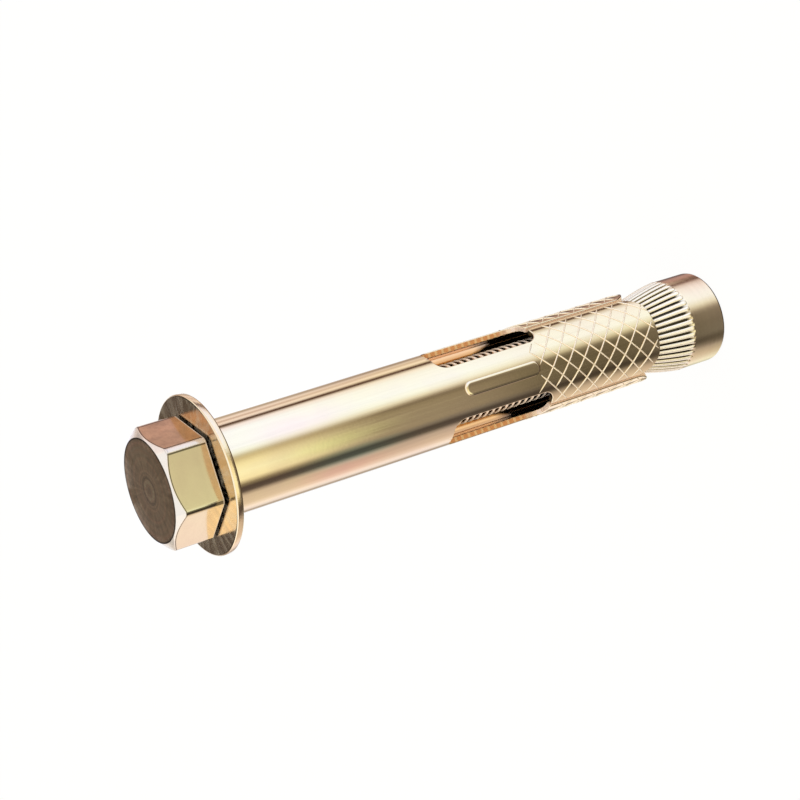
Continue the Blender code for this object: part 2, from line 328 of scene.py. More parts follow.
def turned(corners):
    """A bmesh of a closed profile of (radius, height, round) corners turned about Z."""
    profile = rounded(corners, True)
    bm = bmesh.new()
    revolve(bm, [spun(profile, FULL_TURN * j / ROUND_FACETS) for j in range(ROUND_FACETS)], True)
    return bm


# Node trees

class Nodes:
    """A short way to write a node tree."""

    def __init__(self, tree):
        self.tree = tree

    def link(self, value, socket):
        if isinstance(value, (int, float, tuple)):
            socket.default_value = value
        else:
            self.tree.links.new(value, socket)

    def node(self, kind, output, inputs=None, **settings):
        """One output of a new node, whose inputs are constants or the outputs of other nodes."""
        node = self.tree.nodes.new(kind)
        for name, value in settings.items():
            setattr(node, name, value)
        for name, value in (inputs or {}).items():
            self.link(value, node.inputs[name])
        return node.outputs[output]

    def parts(self, vector):
        """The x, y and z of a vector."""
        split = self.tree.nodes.new("ShaderNodeSeparateXYZ")
        self.link(vector, split.inputs[0])
        return split.outputs

    def math(self, operation, a, b=0.0, c=0.0):
        return self.node("ShaderNodeMath", 0, {0: a, 1: b, 2: c}, operation=operation)

    def times(self, a, b):
        return self.math("MULTIPLY", a, b)

    def plus(self, a, b):
        return self.math("ADD", a, b)

    def minus(self, a, b):
        return self.math("SUBTRACT", a, b)

    def above(self, value, limit):
        return self.math("GREATER_THAN", value, limit)

    def below(self, value, limit):
        return self.math("LESS_THAN", value, limit)

    def most(self, first, *others):
        """The largest of several values."""
        for other in others:
            first = self.math("MAXIMUM", first, other)
        return first

    def ramp(self, value, low, high, first=0.0, last=1.0):
        inputs = {"Value": value, "From Min": low, "From Max": high, "To Min": first, "To Max": last}
        return self.node("ShaderNodeMapRange", "Result", inputs)

    def spread(self, noise, low, high):
        """Noise as values from low to high, with its rare ends cut off."""
        return self.ramp(noise, *NOISE_SPAN, low, high)

    def between(self, value, low, high, soft):
        """1 between two values and 0 outside them, with soft ends."""
        return self.times(self.ramp(value, low - soft, low), self.ramp(value, high, high + soft, 1.0, 0.0))

    def place(self):
        return self.node("ShaderNodeTexCoord", "Object")

    def round_axis(self):
        """A point's x, way round in metres at the sleeve's radius, distance from the axis, and height."""
        x, y, z = self.parts(self.place())
        angle = self.math("ARCTAN2", x, self.times(y, -1.0))
        away = self.math("SQRT", self.plus(self.times(x, x), self.times(y, y)))
        return x, self.times(angle, SLEEVE_RADIUS), away, z

    def spot(self, x, y, z):
        return self.node("ShaderNodeCombineXYZ", 0, {0: x, 1: y, 2: z})

    def noise(self, where, scale, detail=2.0, roughness=0.5):
        inputs = {"Vector": where, "Scale": scale, "Detail": detail, "Roughness": roughness}
        return self.node("ShaderNodeTexNoise", "Fac", inputs)

    def mix(self, share, a, b):
        return self.node("ShaderNodeMix", 2, {0: share, 6: a, 7: b}, data_type="RGBA")

    def tinted(self, colour, hue):
        return self.node("ShaderNodeVectorMath", 0, {0: colour, 1: hue}, operation="MULTIPLY")

    def scaled(self, colour, factor):
        return self.node("ShaderNodeVectorMath", 0, {0: colour, "Scale": factor}, operation="SCALE")

    def darkened(self, colour, share, by):
        return self.scaled(colour, self.math("MULTIPLY_ADD", share, -by, 1.0))

    def bump(self, height, strength, normal=None):
        inputs = {"Height": height, "Strength": strength, "Distance": BUMP_DISTANCE}
        if normal is not None:
            inputs["Normal"] = normal
        return self.node("ShaderNodeBump", "Normal", inputs)


# Geometry Nodes groups

def nodes_group(name, label, kind):
    """A new Geometry Nodes group that takes a geometry, one named input and a material."""
    group = bpy.data.node_groups.new(name, "GeometryNodeTree")
    for title, socket in (("Geometry", "Geometry"), (label, kind), ("Material", "Material")):
        group.interface.new_socket(title, in_out="INPUT", socket_type="NodeSocket" + socket)
    group.interface.new_socket("Geometry", in_out="OUTPUT", socket_type="NodeSocketGeometry")
    return Nodes(group), group.nodes.new("NodeGroupInput").outputs


def finish_group(nodes, geometry, material):
    """Ends a group in Realize Instances and Set Material."""
    realized = nodes.node("GeometryNodeRealizeInstances", "Geometry", {"Geometry": geometry})
    painted = nodes.node("GeometryNodeSetMaterial", "Geometry", {"Geometry": realized, "Material": material})
    nodes.link(painted, nodes.tree.nodes.new("NodeGroupOutput").inputs["Geometry"])
    return nodes.tree


def sweep_group():
    """Sweeps a profile along guide curves, with the profile's X away from the Z axis."""
    nodes, incoming = nodes_group("sweep_round_axis", "Profile", "Object")
    place = nodes.node("GeometryNodeInputPosition", "Position")
    outwards = nodes.tinted(place, (1.0, 1.0, 0.0))
    inputs = {"Curve": incoming["Geometry"], "Normal": outwards}
    guide = nodes.node("GeometryNodeSetCurveNormal", "Curve", inputs, mode="FREE")
    profile = nodes.node("GeometryNodeObjectInfo", "Geometry", {"Object": incoming["Profile"]})
    radius = nodes.node("GeometryNodeInputRadius", "Radius")
    inputs = {"Curve": guide, "Profile Curve": profile, "Scale": radius, "Fill Caps": True}
    return finish_group(nodes, nodes.node("GeometryNodeCurveToMesh", "Mesh", inputs), incoming["Material"])


def ring_group():
    """Repeats its geometry round the Z axis."""
    nodes, incoming = nodes_group("repeat_round_axis", "Count", "Int")
    points = nodes.node("GeometryNodePoints", "Points", {"Count": incoming["Count"]})
    share = nodes.math("DIVIDE", nodes.node("GeometryNodeInputIndex", "Index"), incoming["Count"])
    turn = nodes.spot(0.0, 0.0, nodes.times(share, FULL_TURN))
    inputs = {"Points": points, "Instance": incoming["Geometry"], "Rotation": turn}
    placed = nodes.node("GeometryNodeInstanceOnPoints", "Instances", inputs)
    return finish_group(nodes, placed, incoming["Material"])


def grown(source, group, settings):
    """The plain mesh that a Geometry Nodes group makes from an object, which is then removed."""
    modifier = source.modifiers.new(group.name, "NODES")
    modifier.node_group = group
    for item in group.interface.items_tree:
        if item.in_out == "INPUT" and item.name in settings:
            modifier[item.identifier] = settings[item.name]
    graph = bpy.context.evaluated_depsgraph_get()
    mesh = bpy.data.meshes.new_from_object(source.evaluated_get(graph))
    bpy.data.objects.remove(source)
    return mesh


def add_mesh(bm, mesh):
    """Adds a mesh to a bmesh, with its faces outwards and one material, and removes it."""
    before = set(bm.faces)
    bm.from_mesh(mesh)
    bpy.data.meshes.remove(mesh)
    fresh = [face for face in bm.faces if face not in before]
    for face in fresh:
        face.material_index = 0
    bmesh.ops.recalc_face_normals(bm, faces=fresh)


def curve_object(name, splines, closed):
    """Curves of straight steps from lists of (point, radius)."""
    curve = bpy.data.curves.new(name, "CURVE")
    curve.dimensions = "3D"
    for points in splines:
        spline = curve.splines.new("POLY")
        spline.points.add(len(points) - 1)
        for target, (place, radius) in zip(spline.points, points):
            target.co = (*place, 1.0)
            target.radius = radius
        spline.use_cyclic_u = closed
    return added(name, curve)


def swept(name, paths, section, sweep, material):
    """The mesh that a section of (x, y) points makes along paths of (point, radius)."""
    guides = curve_object(name + "_guides", paths, False)
    profile = curve_object(name + "_profile", [[((x, y, 0.0), 1.0) for x, y in section]], True)
    mesh = grown(guides, sweep, {"Profile": profile, "Material": material})
    bpy.data.objects.remove(profile)
    return mesh


# Flat sheet with rounded edges, rolled round Z

def arc(centre, radius, start_deg, end_deg, inward):
    """Outline points (x, y, normal x, normal y) along an arc; an inward normal points to its centre."""
    points = []
    side = -1 if inward else 1
    for i in range(ARC_STEPS + 1):
        angle = math.radians(start_deg + (end_deg - start_deg) * i / ARC_STEPS)
        cos, sin = math.cos(angle), math.sin(angle)
        points.append((centre[0] + radius * cos, centre[1] + radius * sin, side * cos, side * sin))
    return points


def empty_sheet():
    """A bmesh whose verts carry the normal of the finished surface, and that layer."""
    bm = bmesh.new()
    return bm, bm.verts.layers.float_vector.new("lean")


def edge_rings(bm, lean, outline, top, bottom, edge, drop, closed):
    """Skins the rounded rim of a sheet along its outline; returns the first and last rings of verts.

    edge is how far the round reaches in from the outline, and drop how far it falls.
    """
    rings = []
    for i in range(2 * EDGE_STEPS + 2):
        lower = i > EDGE_STEPS
        angle = math.radians(90) * (i - lower) / EDGE_STEPS
        inset = edge * (1 - math.sin(angle))
        height = bottom + drop * (1 + math.cos(angle)) if lower else top - drop * (1 - math.cos(angle))
        ring = []
        for x, y, nx, ny in outline:
            vert = bm.verts.new((x - nx * inset, y - ny * inset, height))
            side = math.sin(angle) / edge
            vert[lean] = Vector((nx * side, ny * side, math.cos(angle) / drop)).normalized()
            ring.append(vert)
        rings.append(ring)
    skin(bm, rings, closed)
    return rings[0], rings[-1]


def fill(bm, ring):
    """Triangles between a closed ring of flat verts."""
    for triangle in tessellate_polygon([[vert.co for vert in ring]]):
        bm.faces.new([ring[i] for i in triangle])


def rolled(bm, lean):
    """Cuts a flat sheet into facets and rolls it round Z; x is the way round, y the height."""
    facet = SECTOR / SECTOR_FACETS
    low = min(vert.co.x for vert in bm.verts)
    high = max(vert.co.x for vert in bm.verts)
    for i in range(math.ceil(low / facet), math.floor(high / facet) + 1):
        geometry = bm.verts[:] + bm.edges[:] + bm.faces[:]
        bmesh.ops.bisect_plane(
            bm, geom=geometry, dist=CUT_SNAP, plane_co=(i * facet, 0.0, 0.0), plane_no=(1.0, 0.0, 0.0)
        )
    for vert in bm.verts:
        x, y, height = vert.co
        angle = x / SLEEVE_RADIUS
        out = Vector((math.sin(angle), -math.cos(angle), 0.0))
        along = Vector((math.cos(angle), math.sin(angle), 0.0))
        tilt = vert[lean]
        vert.co = out * (SLEEVE_RADIUS + height) + Vector((0.0, 0.0, y))
        vert[lean] = (along * tilt.x + Vector((0.0, 0.0, tilt.y)) + out * tilt.z).normalized()
    bm.normal_update()
    for face in bm.faces:
        if face.normal.dot(sum((vert[lean] for vert in face.verts), Vector())) < 0:
            face.normal_flip()


def tongue_side():
    """Outline from the middle of a window's top edge down the tongue's side to the middle of its end."""
    inner = WINDOW_WIDTH / 2 - WINDOW_CORNER
    slit = SLIT_WIDTH / 2
    low = SLEEVE_LOW.z
    points = [(0.0, WINDOW_TOP, 0.0, -1.0)]
    points += arc((inner, WINDOW_TOP - WINDOW_CORNER), WINDOW_CORNER, 90, 0, True)
    points += arc((inner, WINDOW_BOTTOM + WINDOW_CORNER), WINDOW_CORNER, 0, -90, True)
    points += arc((slit + SLIT_CORNER, WINDOW_BOTTOM - SLIT_CORNER), SLIT_CORNER, 90, 180, False)
    points += arc((slit + TONGUE_CORNER, low + TONGUE_CORNER), TONGUE_CORNER, 180, 270, False)
    crowned = []
    for x, y, nx, ny in points:
        if y < low + TONGUE_CORNER:
            share = (SECTOR / 2 - x) / (SECTOR / 2)
            y += TONGUE_CROWN * share * share * (low + TONGUE_CORNER - y) / TONGUE_CORNER
        crowned.append((x, y, nx, ny))
    crowned.append((SECTOR / 2, low, 0.0, -1.0))
    return crowned


def sleeve_sheet():
    """One third of the sleeve, from the middle of one window to the middle of the next, rolled."""
    bm, lean = empty_sheet()
    side = tongue_side()
    mirrored = [(SECTOR - x, y, -nx, ny) for x, y, nx, ny in reversed(side[:-1])]
    lower = side + mirrored
    upper = [(SECTOR, SLEEVE_HIGH.z, 0.0, 1.0), (0.0, SLEEVE_HIGH.z, 0.0, 1.0)]
    rim = (0.0, -SLEEVE_WALL, SLEEVE_EDGE, SLEEVE_EDGE, False)
    low_first, low_last = edge_rings(bm, lean, lower, *rim)
    top_first, top_last = edge_rings(bm, lean, upper, *rim)
    fill(bm, low_first + top_first)
    fill(bm, low_last + top_last)
    rolled(bm, lean)
    return bm


def key_sheet():
    """One raised key, rolled, its root inside the wall; x is 0 at its middle."""
    bm, lean = empty_sheet()
    half = KEY_WIDTH / 2
    low = KEY_BOTTOM + half
    high = KEY_BOTTOM + KEY_LENGTH - half
    outline = arc((0.0, high), half, 0, 180, False) + arc((0.0, low), half, 180, 360, False)
    first, last = edge_rings(bm, lean, outline, KEY_HEIGHT, -KEY_HEIGHT, KEY_EDGE, KEY_HEIGHT, True)
    fill(bm, first)
    fill(bm, last)
    rolled(bm, lean)
    return bm


def gather(target, source, turns, lean_out):
    """Adds copies of a rolled sheet at several angles, with their normals."""
    lean = source.verts.layers.float_vector["lean"]
    faces = [[vert.index for vert in face.verts] for face in source.faces]
    for angle in turns:
        turn = Matrix.Rotation(angle, 3, "Z")
        verts = []
        for vert in source.verts:
            copy = target.verts.new(turn @ vert.co)
            copy[lean_out] = turn @ vert[lean]
            verts.append(copy)
        for corners in faces:
            target.faces.new([verts[i] for i in corners])
    source.free()


# Diamond ridges

def on_tongue(x, z):
    """True where a ridge may stand: clear of slits, windows, the tongue's round corners and its key."""
    x = abs(x)
    edge = SECTOR / 2 - x
    low = SLEEVE_LOW.z
    if z < low + RIDGE_MARGIN or z > RIDGE_TOP or edge < SLIT_WIDTH / 2 + RIDGE_MARGIN:
        return False
    if z > WINDOW_BOTTOM - RIDGE_MARGIN and edge < WINDOW_WIDTH / 2 + RIDGE_MARGIN:
        return False
    corner = SLIT_WIDTH / 2 + TONGUE_CORNER
    crown = TONGUE_CROWN * (x / (SECTOR / 2)) ** 2
    if z < low + crown + RIDGE_MARGIN:
        return False
    if edge < corner and z < low + TONGUE_CORNER:
        away = math.hypot(corner - edge, low + TONGUE_CORNER + crown - z)
        if away > TONGUE_CORNER - RIDGE_MARGIN:
            return False
    key_low = KEY_BOTTOM + KEY_WIDTH / 2
    return math.hypot(x, max(0.0, key_low - z)) > KEY_WIDTH / 2 + RIDGE_MARGIN


def ridge_run(points, turn):
    """Guide points with narrowing ends, from (angle, height) points turned to one of the tongues."""
    last = len(points) - 1
    run = []
    for i, (angle, z) in enumerate(points):
        share = min(i, last - i) / RIDGE_TAPER_STEPS
        place = (SLEEVE_RADIUS * math.sin(angle + turn), -SLEEVE_RADIUS * math.cos(angle + turn), z)
        run.append((place, min(1.0, RIDGE_END + (1 - RIDGE_END) * share)))
    return run


def ridge_guides():
    """Runs of both families of slanted lines where a tongue carries them, the same on each tongue."""
    runs = []
    steps = round((RIDGE_TOP - SLEEVE_LOW.z) / RIDGE_STEP)
    for rise, phase in ((1, RIDGE_PHASE_RISING), (-1, RIDGE_PHASE_FALLING)):
        for k in range(-RIDGE_LINES, RIDGE_LINES + 1):
            points = []
            for i in range(steps + 2):
                z = SLEEVE_LOW.z + i * RIDGE_STEP
                angle = phase + k * RIDGE_SPACING + rise * i * RIDGE_STEP * RIDGE_SLOPE
                if i <= steps and on_tongue(angle * SLEEVE_RADIUS, z):
                    points.append((angle, z))
                    continue
                if len(points) > 2 * RIDGE_TAPER_STEPS:
                    runs += [ridge_run(points, turn) for turn in TONGUE_TURNS]
                points = []
    return runs


def ridge_section():
    """Half-round ridge section, X outwards, with a root inside the wall."""
    points = [(-RIDGE_ROOT, -RIDGE_WIDTH / 2)]
    for i in range(RIDGE_SECTION_STEPS + 1):
        angle = math.pi * (i / RIDGE_SECTION_STEPS - 0.5)
        points.append((RIDGE_HEIGHT * math.cos(angle), RIDGE_WIDTH / 2 * math.sin(angle)))
    points.append((-RIDGE_ROOT, RIDGE_WIDTH / 2))
    return points


# Materials

def linear(red, green, blue):
    """A colour seen as sRGB numbers of 0 to 255, in the linear values that shaders take."""
    values = []
    for part in (red, green, blue):
        part /= 255
        values.append(part / 12.92 if part <= 0.04045 else ((part + 0.055) / 1.055) ** 2.4)
    return (*values, 1.0)


def plating(name, gold, blush, roughness, grain, tints, dull):
    """Yellow-passivated zinc: two hues in soft clouds, fine marks along or round the piece, faint pits.

    grain is "along" for drawing lines along the axis, "round" for turning marks, "radial" for marks that
    follow the way out on flat faces as well. tints change the colour at a piece's own places, painted shade
    and reflections among them, and dull gives the share and the colour of matt, worn or sheared metal and of
    painted highlights there.
    """
    material = bpy.data.materials.new(name)
    material.use_nodes = True
    shade = Nodes(material.node_tree)
    surface = shade.tree.nodes["Principled BSDF"].inputs
    x, around, away, height = shade.round_axis()
    if grain == "along":
        marks = shade.spot(shade.times(around, MARK_STRETCH), away, height)
    elif grain == "round":
        marks = shade.spot(shade.times(height, MARK_STRETCH), shade.times(away, MARK_STRETCH), around)
    else:
        marks = shade.spot(shade.times(around, RAY_STRETCH), shade.times(height, RAY_STRETCH / 3), away)
    fine = shade.noise(marks, FINE_MARKS, 5.0, 0.65)
    broad = shade.noise(marks, BROAD_MARKS, 3.0, 0.6)
    clouds = shade.noise(shade.place(), CLOUDS, 3.0, 0.55)
    pits = shade.noise(shade.place(), PITS, 2.0, 0.6)
    hue = shade.mix(shade.ramp(clouds, 0.35, 0.65), gold, blush)
    tone = shade.plus(shade.spread(fine, 0.97, 1.02), shade.spread(broad, -0.02, 0.02))
    colour = shade.scaled(hue, tone)
    for tint in tints:
        colour = tint(shade, colour, x, around, away, height)
    matt_share, pale = dull(shade, x, around, away, height)
    shade.link(shade.mix(matt_share, colour, pale), surface["Base Color"])
    shade.link(shade.minus(1.0, matt_share), surface["Metallic"])
    uneven = shade.spread(clouds, -0.01, 0.03)
    rough = shade.plus(shade.spread(fine, -0.02, 0.04), uneven)
    shade.link(shade.plus(rough, roughness), surface["Roughness"])
    lines = shade.bump(fine, 0.5 if grain == "radial" else 0.04)
    shade.link(shade.bump(pits, 0.05, lines), surface["Normal"])
    return material


def sleeve_films(shade, colour, x, around, away, height):
    """Soft patches where the passivation film is thinner or thicker and its hue turns."""
    for turn, level, reach_round, reach_along, hue in SLEEVE_FILMS:
        middle = math.radians(turn) * SLEEVE_RADIUS
        half = math.radians(reach_round) * SLEEVE_RADIUS
        across = shade.math("DIVIDE", shade.minus(around, middle), half)
        along = shade.math("DIVIDE", shade.minus(height, level), reach_along)
        off = shade.plus(shade.math("POWER", across, 2.0), shade.math("POWER", along, 2.0))
        share = shade.ramp(off, 0.0, 1.0, 1.0, 0.0)
        colour = shade.mix(shade.times(share, share), colour, shade.tinted(colour, hue))
    return colour


def sleeve_inside(shade, colour, x, around, away, height):
    """Painted light on the inner wall, coppery as light goes from wall to wall; painted shade fades it
    towards the tongues.
    """
    wall = SLEEVE_RADIUS - SLEEVE_WALL
    share = shade.ramp(away, wall + 0.02 * MM, wall + 0.08 * MM, 1.0, 0.0)
    light = shade.ramp(height, *WALL_LIGHT, 0.1, 1.0)
    return shade.mix(share, colour, shade.scaled(shade.tinted(colour, INNER_LIGHT_TINT), light))


def key_side_shade(shade, colour, x, around, away, height):
    """Painted shade along one side of the front key."""
    side = shade.between(around, *KEY_SHADE, 0.06 * MM)
    span = shade.between(height, KEY_BOTTOM + 0.5 * MM, KEY_BOTTOM + KEY_LENGTH - 0.7 * MM, 0.4 * MM)
    raised = shade.above(away, SLEEVE_RADIUS + 0.005 * MM)
    return shade.darkened(colour, shade.times(shade.times(side, span), raised), 0.4)


def window_end(shade, around, height):
    """1 at the lower ends of the front windows, on the half beside the front tongue."""
    low = shade.between(height, WINDOW_BOTTOM - 0.02 * MM, WINDOW_BOTTOM + WINDOW_DARK_LENGTH, 0.1 * MM)
    return shade.times(low, shade.ramp(shade.math("ABSOLUTE", around), *WINDOW_DARK, 1.0, 0.0))


def window_end_reflection(shade, colour, x, around, away, height):
    """Painted dark reflection: the window's lower end mirrors the dark inside."""
    deep = shade.below(away, SLEEVE_RADIUS - SLEEVE_EDGE)
    return shade.darkened(colour, shade.times(deep, window_end(shade, around, height)), 0.88)


def sheared_edges_and_highlights(shade, x, around, away, height):
    """Sheared metal on the cut edges, with a painted reflection of the thread, a bead of light for each
    turn; painted highlights on the ridges.
    """
    depth = shade.minus(SLEEVE_RADIUS, away)
    cut = shade.between(depth, SLEEVE_EDGE, SLEEVE_WALL - SLEEVE_EDGE, 0.06 * MM)
    cut = shade.times(cut, shade.minus(1.0, window_end(shade, around, height)))
    wave = shade.math("SINE", shade.times(height, FULL_TURN / THREAD_PITCH))
    # Painted reflection of the thread: a bead of light for each turn
    thread_reflection = shade.mix(shade.ramp(wave, 0.0, 1.0, 0.0, 0.8), THREAD_REFLECTION_DARK, THREAD_REFLECTION_LIGHT)
    beside_window = shade.ramp(height, *THREAD_REFLECTION_START)
    edge = shade.mix(beside_window, SLIT_METAL, thread_reflection)
    # Painted highlights on the ridges
    proud = shade.ramp(away, SLEEVE_RADIUS + 0.02 * MM, SLEEVE_RADIUS + 0.06 * MM)
    ridge = shade.times(proud, shade.ramp(height, KEY_BOTTOM - 0.2 * MM, KEY_BOTTOM, 1.0, 0.0))
    return shade.most(shade.times(cut, 0.85), shade.times(ridge, 0.55)), shade.mix(ridge, edge, RIDGE_HIGHLIGHT)


def bolt_recess_shade(shade, colour, x, around, away, height):
    """The thread's root and the underside of the head, darkened as painted shade."""
    shank = shade.below(away, THREAD_CREST + 0.05 * MM)
    thread = shade.times(shank, shade.ramp(away, THREAD_ROOT + 0.1 * MM, THREAD_CREST, 0.03, 1.0))
    head = shade.ramp(height, HEX_BOTTOM + 0.01 * MM, HEX_BOTTOM + 0.03 * MM, 0.03, 1.0)
    return shade.scaled(colour, shade.most(thread, head))


def chamfer_rise(shade, away, height):
    """How far a point of the head lies above the chamfer's cone; negative under it."""
    rise = shade.times(shade.minus(away, HEX_FACE_RADIUS), math.tan(HEX_CHAMFER_ANGLE))
    return shade.plus(shade.minus(height, HEX_TOP), rise)


def bolt_dark_reflections(shade, colour, x, around, away, height):
    """Painted dark reflections: thin dark lines beside the head's edges."""
    rim = shade.between(away, HEX_FACE_RADIUS - RIM_LINE, HEX_FACE_RADIUS, 0.05 * MM)
    rim = shade.times(rim, shade.above(height, HEX_TOP - 0.06 * MM))
    low = shade.between(chamfer_rise(shade, away, height), *CHAMFER_LINE, OUTLINE_SOFT)
    low = shade.times(low, shade.below(height, HEX_TOP - 0.1 * MM))
    side = shade.between(away, HEX_CORNER_STARTS - 0.05 * MM, HEX_CORNER_STARTS, OUTLINE_SOFT)
    side = shade.times(side, shade.above(x, 0.0))
    edge = shade.above(away, HEX_CORNER_STARTS + 0.07 * MM)
    edge = shade.times(edge, shade.between(x, -UPRIGHT_FAR, -UPRIGHT_NEAR, 0.1 * MM))
    return shade.darkened(colour, shade.most(rim, low, side, edge), 0.75)


def bolt_highlights(shade, x, around, away, height):
    """Painted highlights on the thread's crests, the head's chamfer, its foot and an upright edge."""
    shank = shade.below(height, BOSS_BOTTOM)
    crest = shade.times(shank, shade.ramp(away, THREAD_CREST - 0.2 * MM, THREAD_CREST - 0.1 * MM))
    foot = shade.between(height, HEX_BOTTOM + FOOT_HIGHLIGHT[0], HEX_BOTTOM + FOOT_HIGHLIGHT[1], OUTLINE_SOFT)
    chamfer = shade.between(chamfer_rise(shade, away, height), *CHAMFER_HIGHLIGHT, OUTLINE_SOFT)
    chamfer = shade.times(chamfer, shade.below(height, TOP_FACE))
    upright = shade.above(away, HEX_CORNER_STARTS + 0.03 * MM)
    upright = shade.times(upright, shade.between(x, UPRIGHT_NEAR, UPRIGHT_FAR, 0.1 * MM))
    share = shade.most(crest, foot, chamfer, upright)
    on_head = shade.times(share, shade.above(height, HEX_BOTTOM))
    share = shade.math("MULTIPLY_ADD", crest, 0.25, shade.times(share, 0.6))
    return share, shade.mix(on_head, THREAD_HIGHLIGHT, HEAD_HIGHLIGHT)


def bolt_film_and_reflections(shade, colour, x, around, away, height):
    """Film hue in patches, with painted reflection: the flats are coppery on one side of the head and olive
    on its front.
    """
    patches = shade.noise(shade.place(), 420.0, 3.0, 0.6)
    copper = shade.scaled(shade.tinted(colour, COPPER_TINT), shade.spread(patches, 0.74, 1.26))
    front = shade.below(shade.math("ABSOLUTE", x), OLIVE_HALF)
    olive = shade.mix(front, colour, shade.tinted(colour, OLIVE_TINT))
    flats = shade.mix(shade.ramp(x, *COPPER_STARTS), olive, copper)
    return shade.mix(shade.above(height, TOP_FACE), flats, colour)


def bolt_rings(shade, colour, x, around, away, height):
    """Rings and short rays on the end face."""
    ring = shade.noise(shade.spot(away, 0.0, 0.0), 1500.0, 2.0, 0.5)
    ray = shade.noise(shade.spot(around, shade.times(away, 0.3), 0.0), 1300.0, 3.0, 0.6)
    swing = shade.ramp(away, 1.8 * MM, 3.0 * MM, 0.45, 0.12)
    rung = shade.math("MULTIPLY_ADD", shade.ramp(ring, 0.35, 0.65, -1.0, 1.0), swing, 1.0)
    tone = shade.times(rung, shade.spread(ray, 0.8, 1.25))
    rings = shade.mix(shade.ramp(ring, 0.45, 0.65), colour, shade.tinted(colour, RING_TINT))
    return shade.mix(shade.above(height, TOP_FACE), colour, shade.scaled(rings, tone))


def clear_of_head(shade, away):
    """1 where the washer is clear of the head, and nearly 0 under it, where the washer gets painted shade.
    """
    return shade.ramp(away, BOSS_RADIUS + 0.2 * MM, BOSS_RADIUS + 0.4 * MM, 0.05, 1.0)


def washer_rays(shade, colour, x, around, away, height):
    """Brushed rays on the faces of the washer, worn bright on its rim, with painted shade under the head."""
    ray = shade.noise(shade.spot(around, shade.times(away, 0.15), 0.0), 1500.0, 4.0, 0.7)
    face = shade.below(away, WASHER_RADIUS - 0.6 * WASHER_EDGE)
    tone = shade.math("MULTIPLY_ADD", face, shade.spread(ray, -0.28, -0.08), 1.0)
    return shade.scaled(colour, shade.times(tone, clear_of_head(shade, away)))


def rubbed_rays(shade, x, around, away, height):
    """Paler rays on the faces of the washer."""
    ray = shade.noise(shade.spot(around, shade.times(away, 0.2), 4.0), 1100.0, 4.0, 0.75)
    face = shade.times(shade.below(away, WASHER_RADIUS - WASHER_EDGE), clear_of_head(shade, away))
    return shade.times(face, shade.ramp(ray, 0.45, 0.75, 0.0, 0.45)), WASHER_METAL


def rib_depth(shade, away, height):
    """How deep a point lies below the tops of the cone's ribs."""
    share = shade.ramp(height, COLLAR_LENGTH, CONE_TOP)
    drop = shade.times(shade.math("POWER", share, CONE_CURVE), COLLAR_RADIUS - PILOT_RADIUS)
    return shade.minus(shade.minus(COLLAR_RADIUS, drop), away)


def rib_valley_shade(shade, colour, x, around, away, height):
    """Painted shade on the ground between the cone's ribs, darker the deeper it lies."""
    outside = shade.above(away, PILOT_RADIUS - 1.5 * RIB_DEPTH)
    dark = shade.ramp(rib_depth(shade, away, height), 0.02 * MM, 0.7 * RIB_DEPTH, 0.0, 0.95)
    return shade.darkened(colour, shade.times(outside, dark), 1.0)


def rib_crest_highlights(shade, x, around, away, height):
    """Painted highlights on the tops of the ribs."""
    top = shade.ramp(rib_depth(shade, away, height), 0.0, 0.12 * MM, 0.6, 0.0)
    cone = shade.ramp(height, COLLAR_LENGTH + 0.35 * MM, COLLAR_LENGTH + 0.5 * MM)
    return shade.times(top, cone), RIB_HIGHLIGHT


# Pieces

def make_sleeve(sweep):
    material = plating(
        "sleeve_finish", linear(236, 213, 166), linear(233, 208, 166), 0.08, "along",
        [sleeve_films, sleeve_inside, key_side_shade, window_end_reflection], sheared_edges_and_highlights,
    )
    bm, lean = empty_sheet()
    seams = [FULL_TURN * (k - 0.5) / TONGUES for k in range(TONGUES)]
    gather(bm, sleeve_sheet(), seams, lean)
    seam_verts = {vert for edge in bm.edges if edge.is_boundary for vert in edge.verts}
    bmesh.ops.remove_doubles(bm, verts=list(seam_verts), dist=MERGE)
    gather(bm, key_sheet(), TONGUE_TURNS, lean)
    rolled_count = len(bm.verts)
    normals = [vert[lean].copy() for vert in bm.verts]
    add_mesh(bm, swept("ridge", ridge_guides(), ridge_section(), sweep, material))
    bm.normal_update()
    normals += [vert.normal.copy() for vert in bm.verts[rolled_count:]]
    piece = new_piece("sleeve_dressed", bm, material, "sleeve", "sleeve")
    piece.data.normals_split_custom_set_from_vertices(normals)


def hex_radius(angle):
    """Distance from the axis to the hexagon's side, with rounded upright edges; a flat faces -Y."""
    apothem = HEX_ACROSS_FLATS / 2
    sixth = FULL_TURN / 6
    lean = (angle + math.pi / 2 + sixth / 2) % sixth - sixth / 2
    centre = (apothem - HEX_CORNER_ROUND) / math.cos(sixth / 2)
    limit = math.atan2(centre * math.sin(sixth / 2), apothem)
    if abs(lean) <= limit:
        return apothem / math.cos(lean)
    off = sixth / 2 - abs(lean)
    return centre * math.cos(off) + math.sqrt(HEX_CORNER_ROUND ** 2 - (centre * math.sin(off)) ** 2)


def hex_angles():
    """Angles round the head, closest at the upright edges."""
    sixth = FULL_TURN / 6
    angles = []
    for k in range(6):
        corner = -math.pi / 2 + (k + 0.5) * sixth
        for i in range(-HEX_STEPS, HEX_STEPS):
            share = i / HEX_STEPS
            angles.append(corner + sixth / 2 * math.copysign(abs(share) ** HEX_CROWDING, share))
    return angles


